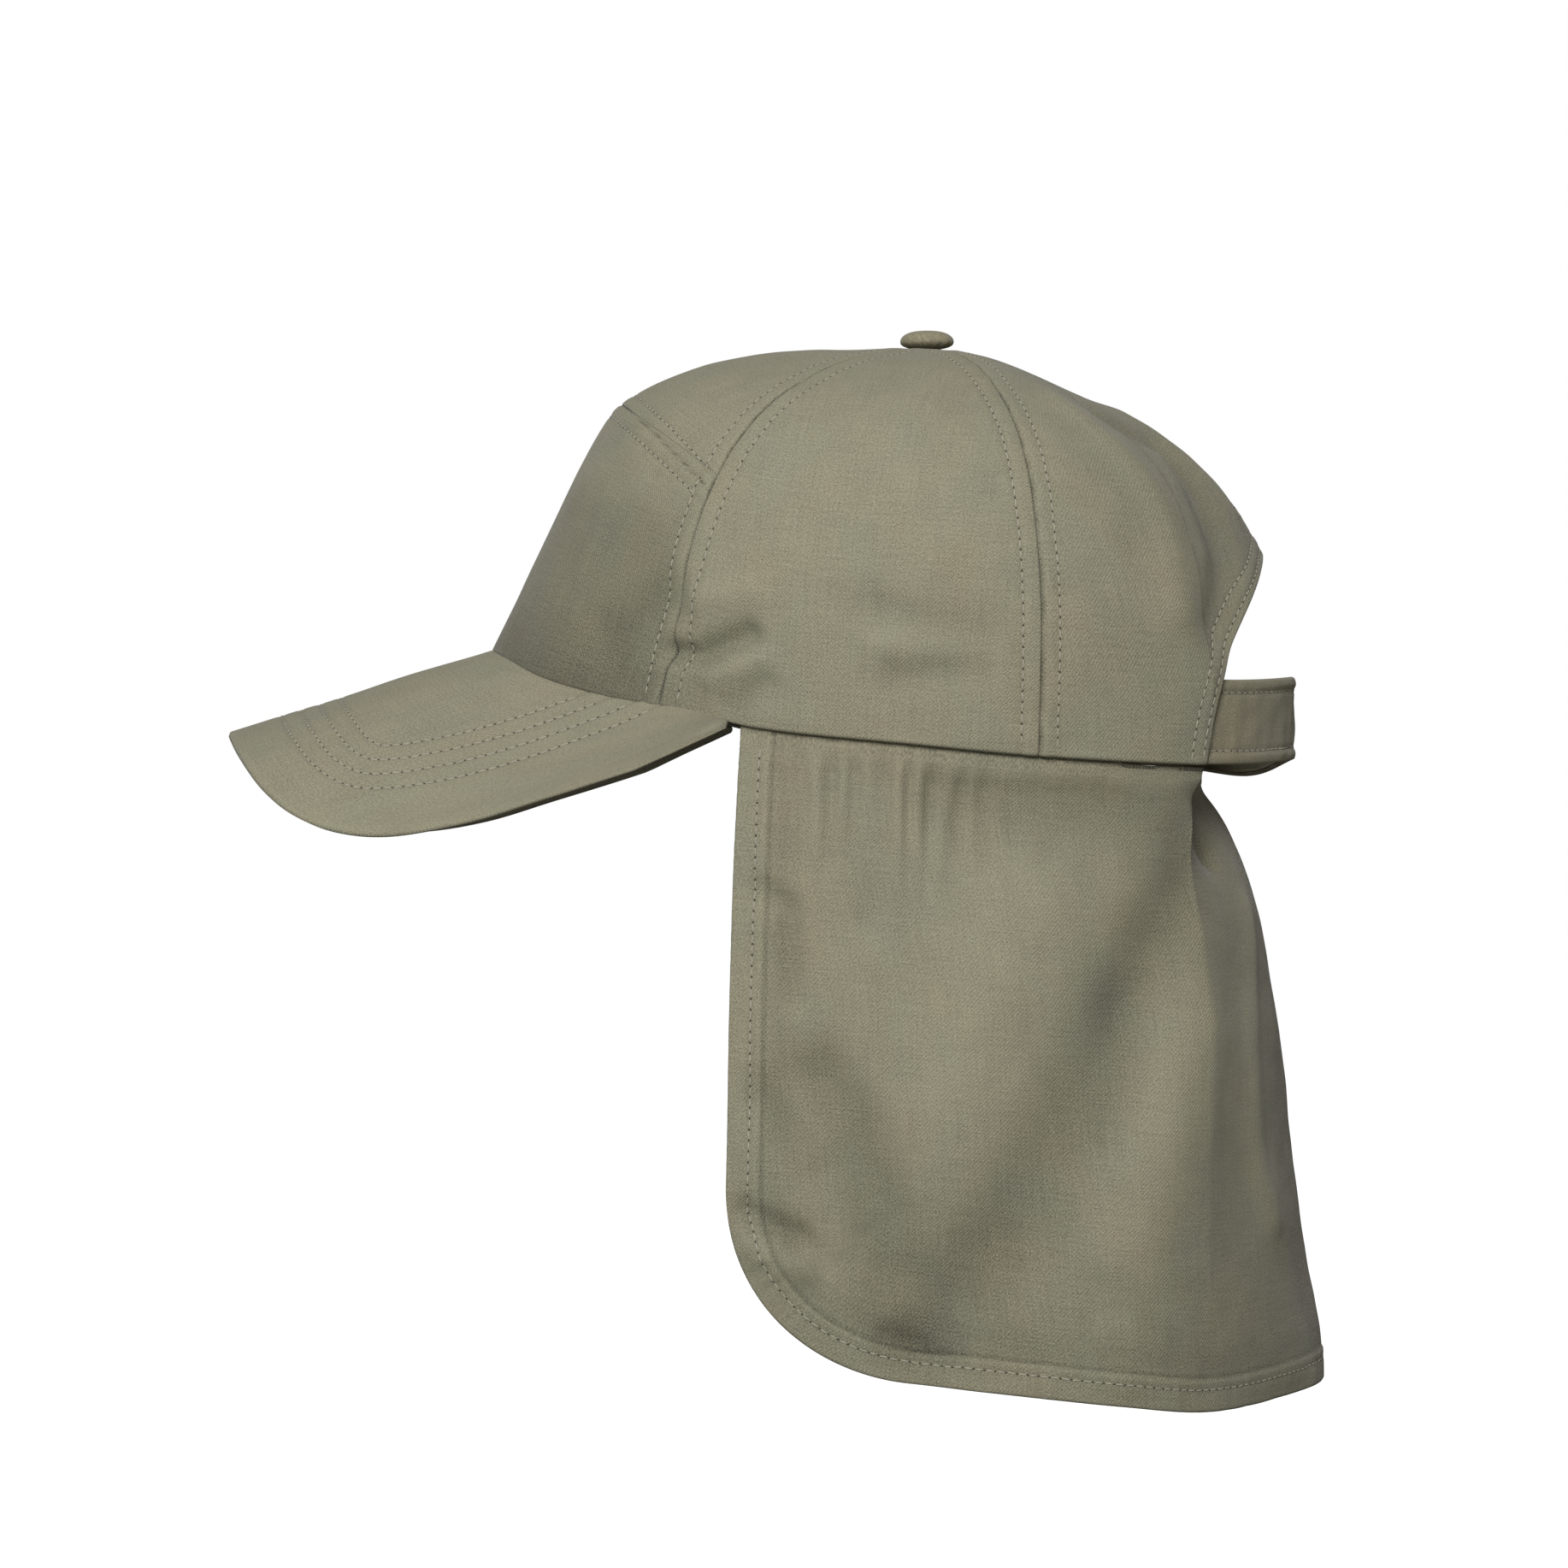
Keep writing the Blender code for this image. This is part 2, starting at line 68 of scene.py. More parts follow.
# Smooth curve through pairs of place and value
def curve(pairs, flatStart=False, flatEnd=False):
    xs = [pair[0] for pair in pairs]
    ys = [pair[1] for pair in pairs]
    last = len(xs) - 1
    slopes = []
    for k in range(last + 1):
        low, high = max(k - 1, 0), min(k + 1, last)
        slopes.append((ys[high] - ys[low]) / (xs[high] - xs[low]))
    if flatStart:
        slopes[0] = 0.0
    if flatEnd:
        slopes[last] = 0.0

    def at(x):
        x = min(max(x, xs[0]), xs[last])
        i = min(max(bisect_right(xs, x) - 1, 0), last - 1)
        span = xs[i + 1] - xs[i]
        t = (x - xs[i]) / span
        a, b = slopes[i] * span, slopes[i + 1] * span
        t2, t3 = t * t, t * t * t
        blend = (2 * t3 - 3 * t2 + 1) * ys[i] + (3 * t2 - 2 * t3) * ys[i + 1]
        return blend + (t3 - 2 * t2 + t) * a + (t3 - t2) * b

    return at


# Each fold has a height and a width in millimetres, then the places its line goes
# through; a negative height goes inward
def foldHeight(folds, place, reach):
    total = 0.0
    px, py = place[0] * reach[0], place[1] * reach[1]
    for height, width, *line in folds:
        nearest = 1.0
        for start, end in zip(line, line[1:]):
            x, y = start[0] * reach[0], start[1] * reach[1]
            dx, dy = end[0] * reach[0] - x, end[1] * reach[1] - y
            share = ((px - x) * dx + (py - y) * dy) / (dx * dx + dy * dy)
            share = min(max(share, 0.0), 1.0)
            nearest = min(nearest, math.hypot(px - x - dx * share, py - y - dy * share))
        total += 0.001 * height * hump(nearest, 0.001 * width)
    return total


# Slow waves and finer crumples of worn cloth
def crumple(point, slow, fine):
    wave = noise.noise(point * 34) * slow
    return wave + noise.noise(point * 120) * fine


# The crown as the frame has it: a rim that rises at the front, and lines from
# the rim to the button
crown = {
    "length": 0.2077, "width": 0.160, "egg": 0.05, "middle": 0.0059, "top": 0.1017,
    "rimLevel": -0.0002, "rimRise": 0.0243, "buttonBack": 0.0082, "tipRadius": 0.0024,
    "frontSeam": (54.8, 69.0), "rearSeam": (109.3, 110.0),
    "crossHeight": 0.0635, "crossSideHeight": 0.0593,
    "archAngle": 41.5, "archHeight": 0.0530, "frontShade": 0.26, "frontShadeWidth": 0.016,
    "panelShade": 0.18, "backShade": 0.17, "dentShade": 45,
    "wall": 0.0009, "rimRoll": 0.0009, "slowWave": 0.0008, "fineWave": 0.00016,
}
crownReach = (crown["length"] + crown["top"]) / 2
crownMiddle = Vector((0.0, crown["middle"], crown["top"] / 4))

rimLine = curve(
    [(0, 1.00), (15, 0.91), (30, 0.69), (45, 0.485), (58, 0.345), (70, 0.155),
     (90, 0.00), (112, -0.145), (142, -0.22), (180, -0.16)],
    flatStart=True, flatEnd=True)

# level, then out and up for the front, the side and the back
crownLevels = (
    (0.00, 1.000, 0.000, 1.000, 0.000, 1.000, 0.000),
    (0.10, 0.940, 0.170, 1.015, 0.155, 1.000, 0.150),
    (0.20, 0.880, 0.350, 1.020, 0.310, 0.985, 0.300),
    (0.30, 0.825, 0.530, 1.000, 0.460, 0.935, 0.440),
    (0.40, 0.760, 0.705, 0.950, 0.600, 0.857, 0.575),
    (0.47, 0.705, 0.815, 0.890, 0.690, 0.785, 0.660),
    (0.55, 0.610, 0.895, 0.810, 0.775, 0.685, 0.740),
    (0.65, 0.480, 0.957, 0.680, 0.860, 0.545, 0.820),
    (0.78, 0.300, 0.998, 0.470, 0.942, 0.350, 0.905),
    (0.90, 0.137, 1.002, 0.230, 0.985, 0.165, 0.975),
    (1.00, 0.000, 1.000, 0.000, 1.000, 0.000, 1.000),
)
crownCurves = {}
for column, key in enumerate(("frontout", "frontup", "sideout", "sideup", "backout", "backup"), 1):
    crownCurves[key] = curve([(row[0], row[column]) for row in crownLevels])

# places are angle and level
crownFolds = (
    (-2.2, 7, (43, 0.10), (55, 0.18)),
    (-3.2, 3.2, (56, 0.095), (61, 0.10), (69, 0.15)),
    (1.1, 4, (61, 0.19), (69, 0.22)),
    (0.9, 3, (63, 0.065), (71, 0.115)),
    (-1.0, 3, (66, 0.03), (72, 0.075)),
    (-1.5, 5, (86, 0.21), (101, 0.175)),
    (1.0, 5, (88, 0.155), (102, 0.155)),
    (-1.3, 5, (90, 0.10), (101, 0.13)),
    (-3.0, 8, (142, 0.635), (154, 0.56), (149, 0.415), (148, 0.325), (142, 0.22)),
    (1.6, 8, (126, 0.66), (134, 0.42), (132, 0.25)),
    (1.5, 7, (164, 0.66), (162, 0.44)),
)


def rimHeight(angle):
    around = abs((angle + 180) % 360 - 180)
    return crown["rimLevel"] + crown["rimRise"] * rimLine(around)


def rimPoint(angle, outset=0.0):
    a = math.radians(angle)
    halfLength = crown["length"] / 2 + outset
    halfWidth = crown["width"] / 2 + outset
    x = halfWidth * math.sin(a) * (1 - crown["egg"] * math.cos(a))
    return Vector((x, crown["middle"] - halfLength * math.cos(a), rimHeight(angle)))


def crownLine(angle, level, way):
    c = math.cos(math.radians(angle))
    end = "front" if c > 0 else "back"
    return mix(crownCurves["side" + way](level), crownCurves[end + way](level), c * c)


def crownDent(angle, level):
    around = abs((angle + 180) % 360 - 180)
    reach = (math.radians(1) * crown["length"] / 2, crownReach)
    return foldHeight(crownFolds, (around, level), reach)


def crownPoint(angle, level):
    rim = rimPoint(angle)
    out, up = crownLine(angle, level, "out"), crownLine(angle, level, "up")
    axisY = crown["middle"] + crown["buttonBack"]
    point = Vector((rim.x * out, mix(axisY, rim.y, out), mix(rim.z, crown["top"], up)))
    return point + (point - crownMiddle).normalized() * crownDent(angle, level)


@lru_cache(None)
def levelAt(angle, height):
    share = height / (crown["top"] - rimHeight(angle))
    low, high = 0.0, 0.8
    for _ in range(24):
        level = (low + high) / 2
        if crownLine(angle, level, "up") < share:
            low = level
        else:
            high = level
    return (low + high) / 2


@lru_cache(None)
def tipLevel(angle):
    low, high = 0.8, 1.0
    axisY = crown["middle"] + crown["buttonBack"]
    for _ in range(20):
        level = (low + high) / 2
        point = crownPoint(angle, level)
        if math.hypot(point.x, point.y - axisY) > crown["tipRadius"]:
            low = level
        else:
            high = level
    return (low + high) / 2


def frontSeam(level):
    return mix(crown["frontSeam"][0], crown["frontSeam"][1], level)


def rearSeam(level):
    return mix(crown["rearSeam"][0], crown["rearSeam"][1], level)


def crossLevel(angle):
    middle = levelAt(0.0, crown["crossHeight"])
    side = levelAt(crown["frontSeam"][0], crown["crossSideHeight"])
    return mix(middle, side, (abs(angle) / crown["frontSeam"][0]) ** 4)


def archLevel(angle):
    away = abs(angle - 180.0) / crown["archAngle"]
    if away >= 1:
        return 0.0
    return levelAt(180.0, crown["archHeight"]) * math.sqrt(1 - away * away)


# Distance from the edge of the back opening, along the cloth
def archAway(around, level, step):
    halfHigh = levelAt(180.0, crown["archHeight"])
    x, y = (180 - around) / crown["archAngle"], level / halfHigh
    ring = math.hypot(x, y)
    slope = math.hypot(x / (crown["archAngle"] * step), y / (halfHigh * crownReach))
    return (ring - 1) * ring / max(slope, 1e-6)


# What sewing does to the cloth beside a seam, with painted shade in its groove and along the pulled rows
seam = {
    "row": 0.0047, "crossRow": 0.0043, "groove": 0.00035, "grooveWidth": 0.00026,
    "puff": 0.00013, "pull": 0.00020, "pullWidth": 0.0007, "pucker": 0.00028,
    "puckerLength": 0.0045, "grooveShade": -0.42, "pullShade": -0.08,
    "archRows": (0.0022, 0.0060),
}


def seamRelief(away, row, run):
    groove = hump(away, seam["grooveWidth"])
    puff = hump(away - row / 2, row * 0.3)
    pull = hump(away - row, seam["pullWidth"])
    pucker = noise.noise(Vector((run / seam["puckerLength"], row * 900, 0.3)))
    rise = seam["puff"] * puff - seam["groove"] * groove
    rise -= seam["pull"] * pull * (1 + 0.5 * pucker)
    rise += seam["pucker"] * pucker * hump(away - row, 0.0032)
    return rise, seam["grooveShade"] * groove * (0.8 + pucker) + seam["pullShade"] * pull


def crownSurface(angle, level):
    around = abs((angle + 180) % 360 - 180)
    point = crownPoint(angle, level)
    step = (crownPoint(angle + 1, level) - point).length
    front, rear = frontSeam(level), rearSeam(level)
    away = min(abs(around - front), abs(around - rear), abs(180 - around)) * step
    rise, shade = seamRelief(away, seam["row"], level * crownReach + (around > 90))
    if around < front:
        crossAway = abs(level - crossLevel(around)) * crownReach
        more, dark = seamRelief(crossAway, seam["crossRow"], math.radians(angle) * 0.09)
        rise, shade = rise + more, shade + dark
    edge = level * crownReach
    if around > 180 - crown["archAngle"] - 12:
        arch = archAway(around, level, step)
        edge = arch if around > 180 - crown["archAngle"] else min(edge, math.hypot(edge, max(arch, 0)))
        # the opening's two rows of stitches: a pulled groove each, with painted shade in it
        for row in seam["archRows"]:
            pull = hump(arch - row, seam["pullWidth"])
            rise -= seam["pull"] * pull
            shade += seam["pullShade"] * pull
        rise += seam["puff"] * hump(arch - sum(seam["archRows"]) / 2, 0.002)
    # painted shade: a dark band along the front rim where the peak casts its shadow, the lower front panel
    # and the upper back panels darker, and the dents darker the deeper they go
    frontness = ease((78 - around) / 25)
    shade -= crown["frontShade"] * hump(level * crownReach, crown["frontShadeWidth"]) * frontness
    shade -= crown["panelShade"] * ease((front - around) / 4) * ease((crossLevel(front) - level) / 0.1)
    shade -= crown["backShade"] * ease((around - 112) / 30) * ease((level - 0.2) / 0.25)
    shade += crown["dentShade"] * crownDent(angle, level)
    rise -= roll(edge, crown["rimRoll"])
    rise += crumple(point, crown["slowWave"], crown["fineWave"]) * ease(edge / 0.004)
    return point + (point - crownMiddle).normalized() * rise, shade


# Shares that crowd columns or rows at both ends, or at one

def crowdEnds(pull):
    return lambda share: share - pull * math.sin(2 * math.pi * share) / (2 * math.pi)


def crowdLast(pull):
    return lambda share: share + pull * math.sin(math.pi * share) / math.pi


# Cloth laid on a surface: a grid whose points go onto it, with a map of the
# cloth in metres so that the weave keeps its size
trees = {}


def layCloth(name, surface, columns, rows, middle, crowdAcross, crowdUp):
    bm = bmesh.new()
    bmesh.ops.create_grid(bm, x_segments=columns, y_segments=rows, size=0.5)
    shadeLayer = bm.verts.layers.float.new("shade")
    grid = {}
    for vert in bm.verts:
        across, up = vert.co.x + 0.5, vert.co.y + 0.5
        grid[round(across * columns), round(up * rows)] = vert
        vert.co, vert[shadeLayer] = surface(crowdAcross(across), crowdUp(up))
    flat = {}
    high = 0.0
    centre = columns // 2
    for j in range(rows + 1):
        if j:
            high += (grid[centre, j].co - grid[centre, j - 1].co).length
        for way in (1, -1):
            wide = 0.0
            i = centre
            flat[grid[i, j]] = (0.0, high)
            while 0 <= i + way <= columns:
                wide += (grid[i + way, j].co - grid[i, j].co).length * way
                i += way
                flat[grid[i, j]] = (wide, high)
    clothMap = bm.loops.layers.uv.new("cloth")
    for face in bm.faces:
        for loop in face.loops:
            loop[clothMap].uv = flat[loop.vert]
    bm.normal_update()
    outward = sum(f.normal.dot(f.calc_center_median() - middle) * f.calc_area() for f in bm.faces)
    if outward < 0:
        bmesh.ops.reverse_faces(bm, faces=bm.faces[:])
        bm.normal_update()
    trees[name] = bvhtree.BVHTree.FromBMesh(bm)
    return bm


def addPiece(name, bm, material, nodes=(), wall=0.0):
    mesh = bpy.data.meshes.new(name)
    bm.to_mesh(mesh)
    bm.free()
    mesh.shade_smooth()
    mesh.materials.append(material)
    piece = bpy.data.objects.new(name, mesh)
    bpy.context.scene.collection.objects.link(piece)
    if wall:
        solid = piece.modifiers.new("wall", "SOLIDIFY")
        solid.thickness = wall
        solid.offset = -1
    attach(piece, "root")
    if nodes:
        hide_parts(*nodes)
    return piece


# Materials

weave = {
    "thread": 0.00048, "weaveBump": 0.00014, "crumpleSize": 0.007, "crumpleBump": 0.00032,
    "grain": 0.60, "slub": 0.14, "patch": 0.08, "sheen": 0.16, "roughness": 0.9,
}


def node(tree, kind, **values):
    made = tree.nodes.new(kind)
    for key, value in values.items():
        setattr(made, key, value)
    return made


def mathNode(tree, operation, first, second):
    made = node(tree, "ShaderNodeMath", operation=operation)
    for socket, value in zip(made.inputs, (first, second)):
        if isinstance(value, (int, float)):
            socket.default_value = value
        else:
            tree.links.new(value, socket)
    return made.outputs[0]


# Noise on the cloth's own map, with a size across and along it in metres
def clothNoise(tree, clothMap, sizeX, sizeY, detail=2.0):
    mapping = node(tree, "ShaderNodeMapping")
    mapping.inputs["Scale"].default_value = (1 / sizeX, 1 / sizeY, 1)
    tree.links.new(clothMap.outputs["UV"], mapping.inputs["Vector"])
    made = node(tree, "ShaderNodeTexNoise")
    made.inputs["Scale"].default_value = 1.0
    made.inputs["Detail"].default_value = detail
    tree.links.new(mapping.outputs["Vector"], made.inputs["Vector"])
    return made.outputs["Fac"]


def clothMaterial(name, colour, otherColour, bumpy=1.0):
    material = bpy.data.materials.new(name)
    material.use_nodes = True
    tree = material.node_tree
    shader = tree.nodes["Principled BSDF"]
    shader.inputs["Roughness"].default_value = weave["roughness"]
    shader.inputs["Specular IOR Level"].default_value = 0.25
    shader.inputs["Sheen Weight"].default_value = weave["sheen"]
    shader.inputs["Sheen Roughness"].default_value = 0.45
    clothMap = node(tree, "ShaderNodeUVMap", uv_map="cloth")

    # two tones of dye in slow patches
    patches = clothNoise(tree, clothMap, 0.022, 0.028, 3.0)
    ramp = node(tree, "ShaderNodeMapRange")
    tree.links.new(patches, ramp.inputs["Value"])
    ramp.inputs["From Min"].default_value = 0.35
    ramp.inputs["From Max"].default_value = 0.65
    tones = node(tree, "ShaderNodeMix", data_type="RGBA")
    tones.inputs[6].default_value = (*colour, 1)
    tones.inputs[7].default_value = (*otherColour, 1)
    tree.links.new(ramp.outputs["Result"], tones.inputs["Factor"])

    # light and dark of single threads, slubs and patches
    pitch = weave["thread"]
    grain = clothNoise(tree, clothMap, pitch * 0.95, pitch * 0.95, 1.0)
    warp = clothNoise(tree, clothMap, pitch * 1.2, pitch * 30, 2.0)
    weft = clothNoise(tree, clothMap, pitch * 26, pitch * 1.2, 2.0)
    slow = clothNoise(tree, clothMap, 0.009, 0.012, 2.0)
    light = 1.0
    for value, strength in ((grain, weave["grain"]), (warp, weave["slub"]),
                            (weft, weave["slub"]), (slow, weave["patch"])):
        around = mathNode(tree, "MULTIPLY", mathNode(tree, "SUBTRACT", value, 0.5), strength * 2)
        light = mathNode(tree, "ADD", around, light)
    # the shade attribute adds each piece's painted shade and highlights to the colour
    shade = node(tree, "ShaderNodeAttribute", attribute_name="shade")
    light = mathNode(tree, "ADD", light, shade.outputs["Fac"])
    light = mathNode(tree, "MAXIMUM", light, 0.08)
    scale = node(tree, "ShaderNodeVectorMath", operation="SCALE")
    tree.links.new(tones.outputs[2], scale.inputs[0])
    tree.links.new(light, scale.inputs["Scale"])
    tree.links.new(scale.outputs["Vector"], shader.inputs["Base Color"])

    # plain weave: threads over and under, then the crumples of washed cotton
    waves = []
    for direction in ("X", "Y"):
        wave = node(tree, "ShaderNodeTexWave", bands_direction=direction)
        wave.inputs["Scale"].default_value = math.pi / 10 / (2 * pitch)
        wave.inputs["Distortion"].default_value = 0.0
        tree.links.new(clothMap.outputs["UV"], wave.inputs["Vector"])
        waves.append(mathNode(tree, "SUBTRACT", wave.outputs["Fac"], 0.5))
    threads = mathNode(tree, "MULTIPLY", waves[0], waves[1])
    threads = mathNode(tree, "ADD", mathNode(tree, "MULTIPLY", threads, 2.0), grain)
    weaveBump = node(tree, "ShaderNodeBump")
    weaveBump.inputs["Strength"].default_value = 0.7
    weaveBump.inputs["Distance"].default_value = weave["weaveBump"]
    tree.links.new(threads, weaveBump.inputs["Height"])
    size = weave["crumpleSize"]
    crumpleBump = node(tree, "ShaderNodeBump")
    crumpleBump.inputs["Strength"].default_value = 0.8
    crumpleBump.inputs["Distance"].default_value = weave["crumpleBump"] * bumpy
    tree.links.new(clothNoise(tree, clothMap, size, size, 3.0), crumpleBump.inputs["Height"])
    tree.links.new(weaveBump.outputs["Normal"], crumpleBump.inputs["Normal"])
    tree.links.new(crumpleBump.outputs["Normal"], shader.inputs["Normal"])
    return material


def plainMaterial(name, colour, spread, size):
    material = bpy.data.materials.new(name)
    material.use_nodes = True
    tree = material.node_tree
    shader = tree.nodes["Principled BSDF"]
    shader.inputs["Roughness"].default_value = 0.7
    shader.inputs["Sheen Weight"].default_value = 0.2
    place = node(tree, "ShaderNodeTexCoord")
    cloudy = node(tree, "ShaderNodeTexNoise")
    cloudy.inputs["Scale"].default_value = 1 / size
    tree.links.new(place.outputs["Object"], cloudy.inputs["Vector"])
    tones = node(tree, "ShaderNodeMix", data_type="RGBA")
    tones.inputs[6].default_value = (*[c * (1 - spread) for c in colour], 1)
    tones.inputs[7].default_value = (*[c * (1 + spread) for c in colour], 1)
    tree.links.new(cloudy.outputs["Fac"], tones.inputs["Factor"])
    tree.links.new(tones.outputs[2], shader.inputs["Base Color"])
    return material


colours = {
    "khaki": (0.284, 0.261, 0.181), "green": (0.266, 0.258, 0.184),
    "button": (0.278, 0.250, 0.166), "buttonGreen": (0.256, 0.244, 0.166),
    "thread": (0.40, 0.37, 0.29), "holeShade": (0.045, 0.040, 0.028),
}
crownCloth = clothMaterial("crownCotton", colours["khaki"], colours["green"])
peakCloth = clothMaterial("peakCotton", colours["khaki"], colours["green"], bumpy=0.4)
strapCloth = clothMaterial("strapCotton", colours["khaki"], colours["button"])
flapCloth = clothMaterial("flapCotton", colours["khaki"], colours["green"])
buttonCloth = clothMaterial("buttonCotton", colours["button"], colours["buttonGreen"])
threadCotton = plainMaterial("sewingThread", colours["thread"], 0.25, 0.0012)
# needle holes are not cut: each is a dark lens, painted shade sunk into the cloth
holeShadow = plainMaterial("needleHoleShadow", colours["holeShade"], 0.3, 0.002)


# Stitching: a short thread lump for each stitch, and between them a dark lens of painted shade where the
# needle hole is
stitch = {"pitch": 0.0027, "length": 0.0021, "radius": 0.00019, "holeShade": 0.00030, "lift": 0.00003}
threads = bmesh.new()
holeShadows = bmesh.new()
joiner = bpy.data.meshes.new("joiner")
chance = random.Random(7)
stitchCount = 0


# Points a set distance apart along a line of points
def evenPoints(points, pitch, start):
    made = []
    wanted = start
    run = 0.0
    for a, b in zip(points, points[1:]):
        length = (b - a).length
        while length > 0 and wanted <= run + length:
            made.append(a.lerp(b, (wanted - run) / length))
            wanted += pitch
        run += length
    return made


def sewRow(points, treeName, strong=1.0):
    global stitchCount
    places = evenPoints(points, stitch["pitch"] / 2, chance.uniform(0, stitch["pitch"] / 2))
    rowThreads, rowHoleShadows = bmesh.new(), bmesh.new()
    for k in range(1, len(places) - 1):
        spot, normal = trees[treeName].find_nearest(places[k])[:2]
        if spot is None:
            continue
        tangent = places[k + 1] - places[k - 1]
        tangent = (tangent - normal * tangent.dot(normal)).normalized()
        side = normal.cross(tangent)
        turn = Matrix((side, normal, tangent)).transposed().to_4x4()
        if k % 2:
            lean = Matrix.Rotation(math.radians(chance.uniform(-5, 5)), 4, "Y")
            size = Matrix.Diagonal((stitch["radius"] * strong, stitch["radius"] * 0.8,
                                    stitch["length"] / 2 * chance.uniform(0.9, 1.06), 1))
            place = Matrix.Translation(spot + normal * stitch["lift"])
            bmesh.ops.create_uvsphere(rowThreads, u_segments=6, v_segments=6, radius=1,
                                      matrix=place @ turn @ lean @ size)
            stitchCount += 1
        else:
            # a dark lens of painted shade at the needle hole
            size = Matrix.Diagonal((stitch["holeShade"], stitch["holeShade"] * 0.45, stitch["holeShade"] * 1.1, 1))
            place = Matrix.Translation(spot)
            bmesh.ops.create_icosphere(rowHoleShadows, subdivisions=1, radius=1, matrix=place @ turn @ size)
    for row, joined in ((rowThreads, threads), (rowHoleShadows, holeShadows)):
        row.to_mesh(joiner)
        row.free()
        joined.from_mesh(joiner)


# Crown panels
panelGrid = {"sideColumns": 96, "frontColumns": 110, "backColumns": 92,
             "longRows": 150, "lowRows": 62, "highRows": 90}


def panelSurface(edges, low, high, columnShare=None):
    def surface(across, up):
        if columnShare:
            across = columnShare(across)
        start, end = edges(0.0)
        column = mix(start, end, across)
        level = mix(low(column), high(column), up)
        start, end = edges(level)
        return crownSurface(mix(start, end, across), level)
    return surface


def addPanel(name, node, surface, columns, rows, crowdAcross):
    bm = layCloth(name, surface, columns, rows, crownMiddle, crowdAcross, crowdEnds(0.45))
    addPiece(name, bm, crownCloth, [node], crown["wall"])


def rimLevel(angle):
    return 0.0


def frontEdges(level):
    return -frontSeam(level), frontSeam(level)


addPanel("frontPanel", "front_panel", panelSurface(frontEdges, rimLevel, crossLevel),
         panelGrid["frontColumns"], panelGrid["lowRows"], crowdEnds(0.5))
addPanel("frontTopPanel", "front_top_panel", panelSurface(frontEdges, crossLevel, tipLevel),
         panelGrid["frontColumns"], panelGrid["highRows"], crowdEnds(0.5))

sideEdges = {
    "Left": lambda level: (frontSeam(level), rearSeam(level)),
    "Right": lambda level: (360 - rearSeam(level), 360 - frontSeam(level)),
}
for side, edges in sideEdges.items():
    addPanel("sidePanel" + side, "side_panel_" + side.lower(),
             panelSurface(edges, rimLevel, tipLevel),
             panelGrid["sideColumns"], panelGrid["longRows"], crowdEnds(0.55))


# Columns of a back panel crowd at the corner of the opening, where its edge is steep
def archShare(share):
    span = 180 - crown["rearSeam"][0]
    corner = (span - crown["archAngle"]) / span
    plain = 0.38
    if share < plain:
        return corner * share / plain
    return 1 - (1 - corner) * math.cos((share - plain) / (1 - plain) * math.pi / 2)


backEdges = {
    "Left": (lambda level: (rearSeam(level), 180.0), archShare),
    "Right": (lambda level: (180.0, 360 - rearSeam(level)), lambda share: 1 - archShare(1 - share)),
}
for side, (edges, share) in backEdges.items():
    addPanel("backPanel" + side, "back_panel_" + side.lower(),
             panelSurface(edges, archLevel, tipLevel, share),
             panelGrid["backColumns"], panelGrid["longRows"], lambda share: share)
print("crown panels laid")


# Rows of topstitching on the crown
def crownRow(angleAt, low, high, aside, way):
    points = []
    for k in range(121):
        level = mix(low, high, k / 120)
        angle = angleAt(level)
        step = (crownPoint(angle + 1, level) - crownPoint(angle, level)).length
        points.append(crownSurface(angle + way * aside / step, level)[0])
    return points


rowTop = 0.925  # the rows end beside the button
for mirror in (1, -1):
    sideName = "sidePanelLeft" if mirror == 1 else "sidePanelRight"
    backName = "backPanelLeft" if mirror == 1 else "backPanelRight"
    front = lambda level: mirror * frontSeam(level) % 360
    rear = lambda level: mirror * rearSeam(level) % 360
    cross = crossLevel(crown["frontSeam"][0])
    sewRow(crownRow(front, 0.012, rowTop, seam["row"], mirror), sideName)
    sewRow(crownRow(front, 0.012, cross, seam["row"], -mirror), "frontPanel")
    sewRow(crownRow(front, cross, rowTop, seam["row"], -mirror), "frontTopPanel")
    sewRow(crownRow(rear, 0.012, rowTop, seam["row"], -mirror), sideName)
    sewRow(crownRow(rear, 0.012, rowTop, seam["row"], mirror), backName)
    archTop = levelAt(180.0, crown["archHeight"])
    sewRow(crownRow(lambda level: 180.0, archTop + 0.05, rowTop, seam["row"], -mirror), backName)
    for row in seam["archRows"]:
        points = []
        for k in range(141):
            turn = math.radians(90 * k / 140)
            step = (crownPoint(150, 0.2) - crownPoint(149, 0.2)).length
            away = (crown["archAngle"] * step + row) * math.cos(turn) / step
            level = (archTop * crownReach + row) * math.sin(turn) / crownReach
            points.append(crownSurface(180 - mirror * away, max(level, 0.004))[0])
        sewRow(points, backName)
for way, panel in ((1, "frontTopPanel"), (-1, "frontPanel")):
    points = []
    reach = crown["frontSeam"][0] + 2.5
    for k in range(161):
        angle = mix(-reach, reach, k / 160)
        level = crossLevel(angle) + way * seam["crossRow"] / crownReach
        limit = frontSeam(level) - 0.3
        points.append(crownSurface(min(max(angle, -limit), limit), level)[0])
    sewRow(points, panel)
print("crown stitched")


